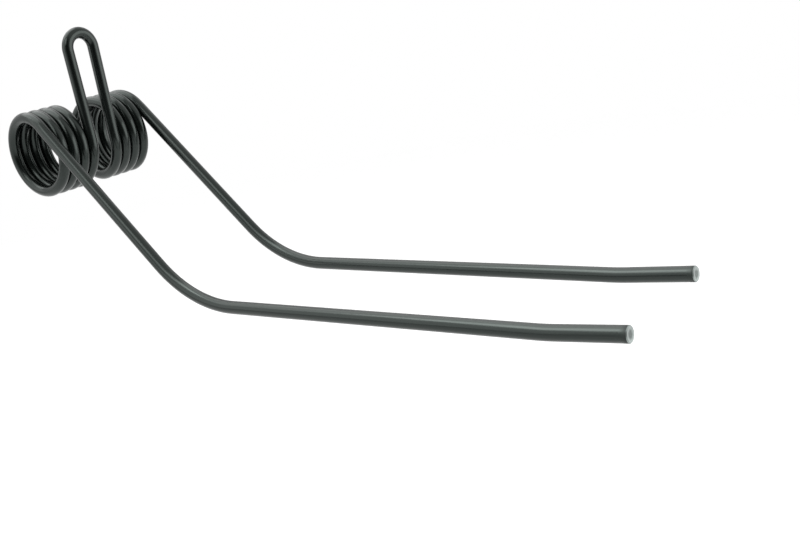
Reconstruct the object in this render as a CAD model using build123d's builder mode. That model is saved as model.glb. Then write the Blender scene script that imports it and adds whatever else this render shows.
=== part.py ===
import os
from math import acos, atan, atan2, cos, degrees, hypot, pi, radians, sin, sqrt

from build123d import *

# A double spring tine for a hay rake, bent from one round spring-steel wire.
# The wire runs from one tip along its tine and up its leg, winds through a coil, goes over
# the mounting loop and comes back down through the second coil, leg and tine as a mirror
# image. X points forward along the tines, Y across them and Z up along the loop. The
# origin is on the axis of the coils, midway between them.

# Wire: round, with a section drawn in flats because the coils' turns need so many facets
wire_d = 9.5
section_flats = 12
tip_chamfer = 0.5

# Coils: wound in opposite directions on one axis, with their turns close together
coil_inner_d = 54.0
coil_gap = 14.5
turn_gap = 0.5
turns = 4

# Mounting loop: an upright U that rises from the front of the coils
loop_inner_w = 16.0
loop_rise = 77.0
loop_foot_run = 4.0
loop_foot_bend_r = 60.0

# Legs: straight runs that leave the top of the coils and slope down to the knees
leg_slope = 46.0
leg_root_run = 5.0
leg_root_bend_r = 60.0
leg_length = 195.0
knee_bend_r = 98.0

# Tines: long level runs that lift a little before their tips
tine_toe_in = 0.8
tine_length = 278.0
tip_lift = 3.5
tip_bend_r = 150.0
tip_length = 45.0

# Values worked out from the sizes above
wire_r = wire_d / 2
coil_r = coil_inner_d / 2 + wire_r
coil_pitch = wire_d + turn_gap
coil_start = (coil_gap + wire_d) / 2
coil_sweep = 360 * turns - (90 - leg_slope)
lead = atan(coil_pitch / (2 * pi * coil_r))
loop_r = (loop_inner_w + wire_d) / 2
# The section's corners stand out just far enough to give it the area of the round wire.
section_step = 2 * pi / section_flats
section_r = wire_r * sqrt(section_step / sin(section_step))


def heading(drop, toe_in=0):
    """Unit vector that points forward, down by one angle and in to the middle by another."""
    drop, toe_in = radians(drop), radians(toe_in)
    return Vector(cos(drop) * cos(toe_in), -sin(toe_in), -sin(drop) * cos(toe_in))


# The loop is flat. Its plane touches the coils' centre line where the coils begin.
loop_plane = Plane(origin=(coil_r, 0, 0), x_dir=(0, 1, 0), z_dir=(1, 0, 0))
foot = (coil_start, 0)
foot_corner = (coil_start - loop_foot_run * sin(lead), loop_foot_run * cos(lead))
# The sides of the loop lean by this angle to meet the round top as tangents.
side_rise = loop_rise - foot_corner[1]
side_tilt = acos(loop_r / hypot(foot_corner[0], side_rise)) - atan2(side_rise, foot_corner[0])
shoulder = (loop_r * cos(side_tilt), loop_rise + loop_r * sin(side_tilt))

with BuildLine(loop_plane) as loop:
    CenterArc((0, loop_rise), loop_r, degrees(side_tilt), 180 - 2 * degrees(side_tilt))
    side = FilletPolyline(shoulder, foot_corner, foot, radius=loop_foot_bend_r)
    mirror(side, about=Plane.XZ)

# From the foot of the loop the wire winds down the front of the coil, and it leaves the
# last turn near the top. Each turn stands clear of the next by the turn gap.
with BuildLine() as arm:
    helix = Helix(
        pitch=coil_pitch,
        height=coil_pitch * coil_sweep / 360,
        radius=coil_r,
        center=(0, coil_start, 0),
        direction=(0, 1, 0),
        mode=Mode.PRIVATE,
    )
    coil = helix.rotate(Axis.Y, 90)
    add(coil)
    coil_end = coil @ 1
    leg_root = coil_end + (coil % 1) * leg_root_run
    knee = leg_root + heading(leg_slope) * leg_length
    tip_corner = knee + heading(0, tine_toe_in) * tine_length
    tip = tip_corner + heading(-tip_lift, tine_toe_in) * tip_length
    FilletPolyline(
        coil_end,
        leg_root,
        knee,
        tip_corner,
        tip,
        radius=[leg_root_bend_r, knee_bend_r, tip_bend_r],
    )

with BuildLine() as wire_line:
    add(loop.line)
    add(arm.line)
    mirror(arm.line, about=Plane.XZ)

# The whole wire is one sweep. Its two tips are cut square and lightly chamfered.
with BuildPart() as tine:
    path = wire_line.wire()
    with BuildSketch(Plane(origin=path @ 0, z_dir=path % 0)):
        RegularPolygon(section_r, section_flats)
    sweep(path=path)
    tips = tine.faces().sort_by(Axis.X)[-2:]
    chamfer(tips.edges(), tip_chamfer)
tine.part.label = "tine"

os.makedirs("parts", exist_ok=True)
export_step(tine.part, "parts/tine.step")
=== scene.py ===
import math

import bpy
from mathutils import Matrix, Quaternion, Vector


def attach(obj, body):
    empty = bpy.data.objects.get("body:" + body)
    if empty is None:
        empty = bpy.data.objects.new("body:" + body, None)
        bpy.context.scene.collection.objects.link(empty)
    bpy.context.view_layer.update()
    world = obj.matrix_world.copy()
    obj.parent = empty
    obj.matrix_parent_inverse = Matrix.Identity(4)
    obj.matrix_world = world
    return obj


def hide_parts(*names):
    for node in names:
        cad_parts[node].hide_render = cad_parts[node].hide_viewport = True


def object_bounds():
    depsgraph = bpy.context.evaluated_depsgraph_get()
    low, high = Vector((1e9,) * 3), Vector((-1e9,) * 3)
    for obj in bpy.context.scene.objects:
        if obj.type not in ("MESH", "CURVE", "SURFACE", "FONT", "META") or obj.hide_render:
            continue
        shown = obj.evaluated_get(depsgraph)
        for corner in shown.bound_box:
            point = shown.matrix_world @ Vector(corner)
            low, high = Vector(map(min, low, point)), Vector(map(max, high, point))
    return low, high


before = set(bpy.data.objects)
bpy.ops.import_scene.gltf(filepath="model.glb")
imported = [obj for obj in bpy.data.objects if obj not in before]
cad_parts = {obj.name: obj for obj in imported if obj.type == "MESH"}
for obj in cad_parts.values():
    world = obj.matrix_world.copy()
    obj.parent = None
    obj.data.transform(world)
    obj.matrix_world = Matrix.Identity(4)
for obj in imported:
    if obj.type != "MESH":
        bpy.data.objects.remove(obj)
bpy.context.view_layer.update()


# The wire: one length of round spring steel, coiled and bent cold, hardened, and dipped in
# dark grey-green lacquer. One half is bent here from the crown of the mounting loop to its
# tip, by the same sizes as the solid, and the other half is its mirror image.
wire_d = 0.0095
coil_inner_d = 0.054
coil_gap = 0.0145
turn_gap = 0.0005
turns = 4
loop_inner_w = 0.016
loop_rise = 0.077
loop_foot_run = 0.004
loop_foot_bend_r = 0.060
leg_slope = math.radians(46)
leg_root_run = 0.005
leg_root_bend_r = 0.060
leg_length = 0.195
knee_bend_r = 0.098
tine_toe_in = math.radians(0.8)
tine_length = 0.278
tip_lift = math.radians(3.5)
tip_bend_r = 0.150
tip_length = 0.045
tip_chamfer = 0.0005

wire_r = wire_d / 2
coil_r = coil_inner_d / 2 + wire_r
coil_pitch = wire_d + turn_gap
coil_start = (coil_gap + wire_d) / 2
coil_sweep = 2 * math.pi * turns - (math.pi / 2 - leg_slope)
lead = math.atan(coil_pitch / (2 * math.pi * coil_r))
loop_r = (loop_inner_w + wire_d) / 2

# How finely the mesh is divided: round the wire, along the coil and along the bends
ring_points = 40
coil_step = math.radians(5)
bend_step = math.radians(3)

# How far each ring of the mesh lies along the wire, from the crown of the loop
ring_lengths = [0.0]


def heading(drop, toe_in=0.0):
    """Unit vector that points forward, down by one angle and in to the middle by another."""
    level = math.cos(toe_in)
    return Vector((math.cos(drop) * level, -math.sin(toe_in), -math.sin(drop) * level))


def run_straight(end, ahead, length):
    """Draws the open end of the wire out straight, and returns where it then is."""
    bpy.ops.mesh.extrude_edges_move(TRANSFORM_OT_translate={"value": ahead * length})
    ring_lengths.append(ring_lengths[-1] + length)
    return end + ahead * length


def bend(end, ahead, new_ahead, radius):
    """Bends the open end of the wire to a new heading, and returns where it then is."""
    axis = ahead.cross(new_ahead).normalized()
    pivot = end + axis.cross(ahead) * radius
    angle = ahead.angle(new_ahead)
    steps = math.ceil(angle / bend_step)
    # Spin turns left-handed about its axis, so the angle is negative.
    bpy.ops.mesh.spin(steps=steps, angle=-angle, center=pivot, axis=axis)
    for _ in range(steps):
        ring_lengths.append(ring_lengths[-1] + radius * angle / steps)
    return pivot + Quaternion(axis, angle) @ (end - pivot)


def follow(end, ahead, corners, radii):
    """Runs the wire past each corner in a bend, and straight on to the last point."""
    for corner, beyond, radius in zip(corners, corners[1:], radii):
        new_ahead = (beyond - corner).normalized()
        cut = radius * math.tan(ahead.angle(new_ahead) / 2)
        end = run_straight(end, ahead, (corner - end).length - cut)
        end = bend(end, ahead, new_ahead, radius)
        ahead = new_ahead
    return run_straight(end, ahead, (corners[-1] - end).length), ahead


bpy.ops.object.select_all(action="DESELECT")
crown = Vector((coil_r, 0, loop_rise + loop_r))
bpy.ops.mesh.primitive_circle_add(
    vertices=ring_points, radius=wire_r, location=crown, rotation=(math.pi / 2, 0, 0)
)
wire = bpy.context.object
wire.name = "tine_wire"
wire.data.name = "tine_wire"
bpy.ops.object.transform_apply(location=True, rotation=True, scale=True)

# Each point keeps where it lay on the straight wire before the bending: its distance along
# the wire, which is filled in at the end, and its place on the round section.
wire.data.attributes.new("straight_wire", "FLOAT_VECTOR", "POINT")
for vertex, place in zip(wire.data.vertices, wire.data.attributes["straight_wire"].data):
    place.vector = (0.0, vertex.co.x - crown.x, vertex.co.z - crown.z)

# The loop: half of its round top, one side, and the slight bend at its foot
bpy.ops.object.mode_set(mode="EDIT")
bpy.ops.mesh.select_all(action="SELECT")
foot = Vector((coil_r, coil_start, 0))
foot_ahead = Vector((0, math.sin(lead), -math.cos(lead)))
foot_corner = foot - foot_ahead * loop_foot_run
side_rise = loop_rise - foot_corner.z
side_tilt = math.acos(loop_r / math.hypot(foot_corner.y, side_rise)) - math.atan2(
    side_rise, foot_corner.y
)
side_ahead = Vector((0, math.sin(side_tilt), -math.cos(side_tilt)))
end = bend(crown, Vector((0, 1, 0)), side_ahead, loop_r)
end, ahead = follow(end, side_ahead, [foot_corner, foot], [loop_foot_bend_r])

# The coil: each small turn about its axis also moves the wire along the axis.
coil_steps = math.ceil(coil_sweep / coil_step)
turn = coil_sweep / coil_steps
advance = Vector((0, coil_pitch * turn / (2 * math.pi), 0))
for _ in range(coil_steps):
    bpy.ops.mesh.spin(steps=1, angle=-turn, center=(0, 0, 0), axis=(0, 1, 0))
    bpy.ops.transform.translate(value=advance)
    ring_lengths.append(ring_lengths[-1] + math.hypot(coil_r * turn, advance.y))
    end = Quaternion((0, 1, 0), turn) @ end + advance
    ahead = Quaternion((0, 1, 0), turn) @ ahead

# The leg, the knee, and the tine with its lifted tip
leg_root = end + ahead * leg_root_run
knee = leg_root + heading(leg_slope) * leg_length
tip_corner = knee + heading(0, tine_toe_in) * tine_length
tip = tip_corner + heading(-tip_lift, tine_toe_in) * tip_length
tip_shoulder = tip - heading(-tip_lift, tine_toe_in) * tip_chamfer
end, ahead = follow(
    end,
    ahead,
    [leg_root, knee, tip_corner, tip_shoulder],
    [leg_root_bend_r, knee_bend_r, tip_bend_r],
)

# The cut: a small chamfer round a face that is dished a little by the shears
face_insets = (0.0006, 0.0011)
face_depth = 0.00008
end = run_straight(end, ahead, tip_chamfer)
cut_scale = (wire_r - tip_chamfer) / wire_r
bpy.ops.transform.resize(value=(cut_scale,) * 3, center_override=end)
bpy.ops.mesh.edge_face_add()
for inset in face_insets:
    bpy.ops.mesh.inset(thickness=inset, depth=-face_depth)
    ring_lengths.append(ring_lengths[-1])

# The points come in rings in the order in which the wire was drawn out, so the distance
# along the wire goes by the ring. Then the half is mirrored and joined at the crown.
bpy.ops.object.mode_set(mode="OBJECT")
places = wire.data.attributes["straight_wire"].data
for index, place in enumerate(places):
    place.vector.x = ring_lengths[index // ring_points]
crown_merge = 1e-6
mirror = wire.modifiers.new("other half", "MIRROR")
mirror.use_axis = (False, True, False)
mirror.merge_threshold = crown_merge
bpy.ops.object.modifier_apply(modifier=mirror.name)

smooth_below = math.radians(30)
bpy.ops.object.mode_set(mode="EDIT")
bpy.ops.mesh.select_all(action="SELECT")
bpy.ops.mesh.normals_make_consistent(inside=False)
bpy.ops.object.mode_set(mode="OBJECT")
bpy.ops.object.shade_smooth_by_angle(angle=smooth_below)


# Lacquer: a thin dark grey-green satin coat, dipped and baked. It clouds a little along the
# wire, has a faint orange peel, and lets the drawing lines of the wire show through.
lacquer_deep = (0.0026, 0.0038, 0.0032, 1)
lacquer_pale = (0.0040, 0.0054, 0.0050, 1)
lacquer_gloss_tint = (0.87, 1.0, 0.94, 1)
lacquer_ior = 1.46
roughness_smooth, roughness_dull = 0.15, 0.26
cloud_scale, line_scale, peel_scale = 22.0, 900.0, 650.0
line_squeeze = (0.033, 1, 1)
line_share = 0.4
line_depth, peel_depth = 0.00004, 0.00003

lacquer = bpy.data.materials.new("lacquer")
lacquer.use_nodes = True
nodes, links = lacquer.node_tree.nodes, lacquer.node_tree.links
shader = nodes["Principled BSDF"]
shader.inputs["IOR"].default_value = lacquer_ior
shader.inputs["Specular Tint"].default_value = lacquer_gloss_tint

on_wire = nodes.new("ShaderNodeAttribute")
on_wire.attribute_name = "straight_wire"

clouds = nodes.new("ShaderNodeTexNoise")
clouds.inputs["Scale"].default_value = cloud_scale
clouds.inputs["Detail"].default_value = 3.0
links.new(on_wire.outputs["Vector"], clouds.inputs["Vector"])
tint = nodes.new("ShaderNodeValToRGB")
tint.color_ramp.elements[0].position = 0.35
tint.color_ramp.elements[0].color = lacquer_deep
tint.color_ramp.elements[1].position = 0.65
tint.color_ramp.elements[1].color = lacquer_pale
links.new(clouds.outputs["Fac"], tint.inputs["Fac"])
links.new(tint.outputs["Color"], shader.inputs["Base Color"])

# The drawing lines: noise that is drawn out to 30 times its width along the wire
along = nodes.new("ShaderNodeMapping")
along.inputs["Scale"].default_value = line_squeeze
links.new(on_wire.outputs["Vector"], along.inputs["Vector"])
lines = nodes.new("ShaderNodeTexNoise")
lines.inputs["Scale"].default_value = line_scale
lines.inputs["Detail"].default_value = 3.0
links.new(along.outputs["Vector"], lines.inputs["Vector"])

# The gloss is dulled in the clouds and a little more in the drawing lines.
dulled = nodes.new("ShaderNodeMath")
dulled.operation = "MULTIPLY_ADD"
dulled.inputs[1].default_value = line_share
links.new(lines.outputs["Fac"], dulled.inputs[0])
links.new(clouds.outputs["Fac"], dulled.inputs[2])
gloss = nodes.new("ShaderNodeMapRange")
gloss.inputs["From Min"].default_value = line_share
gloss.inputs["From Max"].default_value = 1.0
gloss.inputs["To Min"].default_value = roughness_smooth
gloss.inputs["To Max"].default_value = roughness_dull
links.new(dulled.outputs["Value"], gloss.inputs["Value"])

# The last millimetres before the cut are scuffed dull by the shears, in broken rings.
scuff_length = 0.005
scuff_dullness = 0.7
scuff_scale = 1300.0
scuff_stretch = (1, 0.12, 0.12)
apart = nodes.new("ShaderNodeSeparateXYZ")
links.new(on_wire.outputs["Vector"], apart.inputs["Vector"])
near_cut = nodes.new("ShaderNodeMapRange")
near_cut.interpolation_type = "SMOOTHSTEP"
near_cut.inputs["From Min"].default_value = ring_lengths[-1] - scuff_length
near_cut.inputs["From Max"].default_value = ring_lengths[-1]
links.new(apart.outputs["X"], near_cut.inputs["Value"])
around = nodes.new("ShaderNodeMapping")
around.inputs["Scale"].default_value = scuff_stretch
links.new(on_wire.outputs["Vector"], around.inputs["Vector"])
rings = nodes.new("ShaderNodeTexNoise")
rings.inputs["Scale"].default_value = scuff_scale
rings.inputs["Detail"].default_value = 3.0
links.new(around.outputs["Vector"], rings.inputs["Vector"])
scuff = nodes.new("ShaderNodeMath")
scuff.operation = "MULTIPLY"
links.new(near_cut.outputs["Result"], scuff.inputs[0])
links.new(rings.outputs["Fac"], scuff.inputs[1])
scuffed_gloss = nodes.new("ShaderNodeMath")
scuffed_gloss.operation = "MULTIPLY_ADD"
scuffed_gloss.inputs[1].default_value = scuff_dullness
links.new(scuff.outputs["Value"], scuffed_gloss.inputs[0])
links.new(gloss.outputs["Result"], scuffed_gloss.inputs[2])
links.new(scuffed_gloss.outputs["Value"], shader.inputs["Roughness"])

# The relief: the drawing lines first, and the orange peel over them
line_bump = nodes.new("ShaderNodeBump")
line_bump.inputs["Strength"].default_value = 0.30
line_bump.inputs["Distance"].default_value = line_depth
links.new(lines.outputs["Fac"], line_bump.inputs["Height"])
peel = nodes.new("ShaderNodeTexNoise")
peel.inputs["Scale"].default_value = peel_scale
peel.inputs["Detail"].default_value = 2.0
links.new(on_wire.outputs["Vector"], peel.inputs["Vector"])
peel_bump = nodes.new("ShaderNodeBump")
peel_bump.inputs["Strength"].default_value = 0.25
peel_bump.inputs["Distance"].default_value = peel_depth
links.new(peel.outputs["Fac"], peel_bump.inputs["Height"])
links.new(line_bump.outputs["Normal"], peel_bump.inputs["Normal"])
links.new(peel_bump.outputs["Normal"], shader.inputs["Normal"])

# Bare steel: the cut faces at the tips, sheared after the dip, so the metal shows. The
# shears leave the middle torn, and the rim is painted brighter, as a painted highlight.
steel_torn = (0.085, 0.100, 0.095, 1)
steel_highlight = (0.26, 0.29, 0.28, 1)
steel_roughness = 0.45
grain_scale = 700.0
grain_share = 0.5
# Where the painted highlight of the rim starts and where it is full, and how strong it is
highlight_starts, highlight_full = wire_r * 0.35, wire_r * 0.85
rim_highlight_level = 0.8
tear_depth = 0.00008

bare_steel = bpy.data.materials.new("bare_steel")
bare_steel.use_nodes = True
nodes, links = bare_steel.node_tree.nodes, bare_steel.node_tree.links
shader = nodes["Principled BSDF"]
shader.inputs["Metallic"].default_value = 1.0
shader.inputs["Roughness"].default_value = steel_roughness
on_wire = nodes.new("ShaderNodeAttribute")
on_wire.attribute_name = "straight_wire"
across = nodes.new("ShaderNodeMapping")
across.inputs["Scale"].default_value = (0, 1, 1)
links.new(on_wire.outputs["Vector"], across.inputs["Vector"])
from_centre = nodes.new("ShaderNodeVectorMath")
from_centre.operation = "LENGTH"
links.new(across.outputs["Vector"], from_centre.inputs[0])
grain = nodes.new("ShaderNodeTexNoise")
grain.inputs["Scale"].default_value = grain_scale
grain.inputs["Detail"].default_value = 4.0
links.new(across.outputs["Vector"], grain.inputs["Vector"])
# Painted highlight: the colour is made brighter towards the rim of the cut face.
rim_highlight = nodes.new("ShaderNodeMapRange")
rim_highlight.interpolation_type = "SMOOTHSTEP"
rim_highlight.inputs["From Min"].default_value = highlight_starts
rim_highlight.inputs["From Max"].default_value = highlight_full
rim_highlight.inputs["To Max"].default_value = rim_highlight_level
links.new(from_centre.outputs["Value"], rim_highlight.inputs["Value"])
# The torn grain and the painted rim highlight together pick the colour.
grain_and_highlight = nodes.new("ShaderNodeMath")
grain_and_highlight.operation = "MULTIPLY_ADD"
grain_and_highlight.inputs[1].default_value = grain_share
links.new(grain.outputs["Fac"], grain_and_highlight.inputs[0])
links.new(rim_highlight.outputs["Result"], grain_and_highlight.inputs[2])
tint = nodes.new("ShaderNodeValToRGB")
tint.color_ramp.elements[0].position = 0.15
tint.color_ramp.elements[0].color = steel_torn
tint.color_ramp.elements[1].position = 0.95
tint.color_ramp.elements[1].color = steel_highlight
links.new(grain_and_highlight.outputs["Value"], tint.inputs["Fac"])
links.new(tint.outputs["Color"], shader.inputs["Base Color"])
torn = nodes.new("ShaderNodeBump")
torn.inputs["Strength"].default_value = 0.4
torn.inputs["Distance"].default_value = tear_depth
links.new(grain.outputs["Fac"], torn.inputs["Height"])
links.new(torn.outputs["Normal"], shader.inputs["Normal"])

# Every face beyond the shoulder of a tip, which is the chamfer and the cut face, is bare.
wire.data.materials.append(lacquer)
wire.data.materials.append(bare_steel)
shoulder_margin = 0.00001
bare_from = tip_shoulder.dot(ahead) + shoulder_margin
for face in wire.data.polygons:
    on_one_half = Vector((face.center.x, abs(face.center.y), face.center.z))
    if on_one_half.dot(ahead) > bare_from:
        face.material_index = 1

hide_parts("tine")
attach(wire, "root")


# The floor: a pale matt round sheet well below the tine, which hangs free as on its holder.
# It fades out towards its rim, it isn't seen from below, and it glows a little towards the
# camera and in the gloss, so that the background is white without more light on the tine.
floor_drop = 0.25
floor_r = 2.4
floor_sides = 96
floor_fade_from = 0.45
floor_fade_to = floor_r * 0.95
floor_colour = (0.78, 0.78, 0.78, 1)
floor_glow = 0.42

lowest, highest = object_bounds()
middle = (lowest + highest) / 2
floor_centre = Vector((middle.x, middle.y, lowest.z - floor_drop))
bpy.ops.object.select_all(action="DESELECT")
bpy.ops.mesh.primitive_circle_add(
    vertices=floor_sides, radius=floor_r, fill_type="NGON", location=floor_centre
)
floor = bpy.context.object
floor.name = "floor"
bpy.ops.object.transform_apply(location=True, rotation=True, scale=True)

floor_paint = bpy.data.materials.new("floor_paint")
floor_paint.use_nodes = True
nodes, links = floor_paint.node_tree.nodes, floor_paint.node_tree.links
nodes.remove(nodes["Principled BSDF"])
matt = nodes.new("ShaderNodeBsdfDiffuse")
matt.inputs["Color"].default_value = floor_colour
glow = nodes.new("ShaderNodeEmission")
rays = nodes.new("ShaderNodeLightPath")
seen = nodes.new("ShaderNodeMath")
seen.operation = "MAXIMUM"
links.new(rays.outputs["Is Camera Ray"], seen.inputs[0])
links.new(rays.outputs["Is Glossy Ray"], seen.inputs[1])
glow_level = nodes.new("ShaderNodeMath")
glow_level.operation = "MULTIPLY"
glow_level.inputs[1].default_value = floor_glow
links.new(seen.outputs["Value"], glow_level.inputs[0])
links.new(glow_level.outputs["Value"], glow.inputs["Strength"])
lit = nodes.new("ShaderNodeAddShader")
links.new(matt.outputs["BSDF"], lit.inputs[0])
links.new(glow.outputs["Emission"], lit.inputs[1])
clear = nodes.new("ShaderNodeBsdfTransparent")
place = nodes.new("ShaderNodeTexCoord")
from_middle = nodes.new("ShaderNodeVectorMath")
from_middle.operation = "DISTANCE"
from_middle.inputs[1].default_value = floor_centre
links.new(place.outputs["Object"], from_middle.inputs[0])
fade = nodes.new("ShaderNodeMapRange")
fade.interpolation_type = "SMOOTHSTEP"
fade.inputs["From Min"].default_value = floor_fade_from
fade.inputs["From Max"].default_value = floor_fade_to
links.new(from_middle.outputs["Value"], fade.inputs["Value"])
side = nodes.new("ShaderNodeNewGeometry")
hidden = nodes.new("ShaderNodeMath")
hidden.operation = "MAXIMUM"
links.new(fade.outputs["Result"], hidden.inputs[0])
links.new(side.outputs["Backfacing"], hidden.inputs[1])
sheet = nodes.new("ShaderNodeMixShader")
links.new(hidden.outputs["Value"], sheet.inputs["Fac"])
links.new(lit.outputs["Shader"], sheet.inputs[1])
links.new(clear.outputs["BSDF"], sheet.inputs[2])
links.new(sheet.outputs["Shader"], nodes["Material Output"].inputs["Surface"])
floor.data.materials.append(floor_paint)


# The studio: a white room that is dark only behind the camera, which shows in the gloss as
# the black core of the wire, and six soft boxes: a large key above and behind, one to each
# side, a small one high in front, and two with grids close over the tips.
room_level, white_level, dark_level = 0.5, 1.0, 0.07
dark_side = Vector((0.72, -0.69, 0.0))
dark_within, white_beyond = math.radians(15), math.radians(53)
height_share = 0.55

# The dark part is a tall one: heights count for about half when the angle is taken.
world = bpy.data.worlds.new("studio")
bpy.context.scene.world = world
world.use_nodes = True
nodes, links = world.node_tree.nodes, world.node_tree.links
outward = nodes.new("ShaderNodeTexCoord")
squat = nodes.new("ShaderNodeVectorMath")
squat.operation = "MULTIPLY"
squat.inputs[1].default_value = (1, 1, height_share)
links.new(outward.outputs["Generated"], squat.inputs[0])
heading_out = nodes.new("ShaderNodeVectorMath")
heading_out.operation = "NORMALIZE"
links.new(squat.outputs["Vector"], heading_out.inputs[0])
towards_dark = nodes.new("ShaderNodeVectorMath")
towards_dark.operation = "DOT_PRODUCT"
towards_dark.inputs[1].default_value = dark_side.normalized()
links.new(heading_out.outputs["Vector"], towards_dark.inputs[0])
gloss_level = nodes.new("ShaderNodeMapRange")
gloss_level.interpolation_type = "SMOOTHSTEP"
gloss_level.inputs["From Min"].default_value = math.cos(white_beyond)
gloss_level.inputs["From Max"].default_value = math.cos(dark_within)
gloss_level.inputs["To Min"].default_value = white_level
gloss_level.inputs["To Max"].default_value = dark_level
links.new(towards_dark.outputs["Value"], gloss_level.inputs["Value"])

# The camera and what is seen through glass get plain white, the gloss gets the dark part,
# and everything else is lit by the room's own level.
rays = nodes.new("ShaderNodeLightPath")
white = nodes.new("ShaderNodeMath")
white.operation = "MAXIMUM"
links.new(rays.outputs["Is Camera Ray"], white.inputs[0])
links.new(rays.outputs["Is Transmission Ray"], white.inputs[1])
for_camera = nodes.new("ShaderNodeMapRange")
for_camera.inputs["To Min"].default_value = room_level
for_camera.inputs["To Max"].default_value = white_level
links.new(white.outputs["Value"], for_camera.inputs["Value"])
for_gloss = nodes.new("ShaderNodeMix")
links.new(rays.outputs["Is Glossy Ray"], for_gloss.inputs["Factor"])
links.new(for_camera.outputs["Result"], for_gloss.inputs["A"])
links.new(gloss_level.outputs["Result"], for_gloss.inputs["B"])
links.new(for_gloss.outputs["Result"], nodes["Background"].inputs["Strength"])
nodes["Background"].inputs["Color"].default_value = (1, 1, 1, 1)


def soft_box(name, aim, towards, distance, size, radiance, spread=math.pi):
    """Adds a rectangular area light that faces a point from one direction."""
    away = Vector(towards).normalized()
    light = bpy.data.lights.new(name, "AREA")
    light.shape = "RECTANGLE"
    light.size, light.size_y = size
    light.energy = radiance * math.pi * size[0] * size[1]
    light.spread = spread
    lamp = bpy.data.objects.new(name, light)
    bpy.context.scene.collection.objects.link(lamp)
    lamp.location = aim + away * distance
    lamp.rotation_mode = "QUATERNION"
    lamp.rotation_quaternion = away.to_track_quat("Z", "Y")
    lamp.visible_camera = False


box_distance, grid_distance, far_grid_distance = 2.0, 0.5, 0.55
grid_spread = math.radians(60)
over_tips = Vector((0.45, -0.05, -0.12))
soft_box("key", middle, (-0.50, -0.04, 0.87), box_distance, (2.0, 2.0), 1.9)
soft_box("left", middle, (-0.54, -0.72, 0.47), box_distance, (1.3, 2.2), 1.0)
soft_box("right", middle, (0.83, 0.56, 0.00), box_distance, (1.9, 1.8), 2.1)
soft_box("front", middle, (0.10, -0.70, 0.71), box_distance, (0.9, 0.9), 2.5)
soft_box("grid", over_tips, (-0.30, -0.36, 0.88), grid_distance, (0.5, 0.36), 0.6, grid_spread)
soft_box(
    "far_grid", over_tips, (-0.36, 0.56, 0.75), far_grid_distance, (0.5, 0.4), 0.15, grid_spread
)


# The camera: a 41 mm lens, tilted with the picture, that looks down on the near tine. The
# photograph was cut from a wider one, so the lens is shifted towards the coils.
photo_width, photo_height = 800, 542
film_width = 36.0
focal_px = 912.03
lens_axis_px = (250.0, photo_height / 2)
coil_centre_px = (81.81, 142.39)
coil_distance = 0.79593
azimuth, elevation, roll = map(math.radians, (46.808, 14.433, -12.188))

back = Vector(
    (
        math.sin(azimuth) * math.cos(elevation),
        -math.cos(azimuth) * math.cos(elevation),
        math.sin(elevation),
    )
)
aim = back.to_track_quat("Z", "Y") @ Quaternion((0, 0, 1), roll)
lens = bpy.data.cameras.new("camera")
lens.sensor_width = film_width
lens.lens = focal_px / photo_width * film_width
lens.shift_x = (photo_width / 2 - lens_axis_px[0]) / photo_width
camera = bpy.data.objects.new("camera", lens)
bpy.context.scene.collection.objects.link(camera)
coil_offset = Vector(
    (
        (coil_centre_px[0] - lens_axis_px[0]) / focal_px * coil_distance,
        (lens_axis_px[1] - coil_centre_px[1]) / focal_px * coil_distance,
        -coil_distance,
    )
)
camera.rotation_mode = "QUATERNION"
camera.rotation_quaternion = aim
camera.location = -(aim @ coil_offset)
bpy.context.scene.camera = camera
bpy.context.scene.view_settings.view_transform = "Standard"
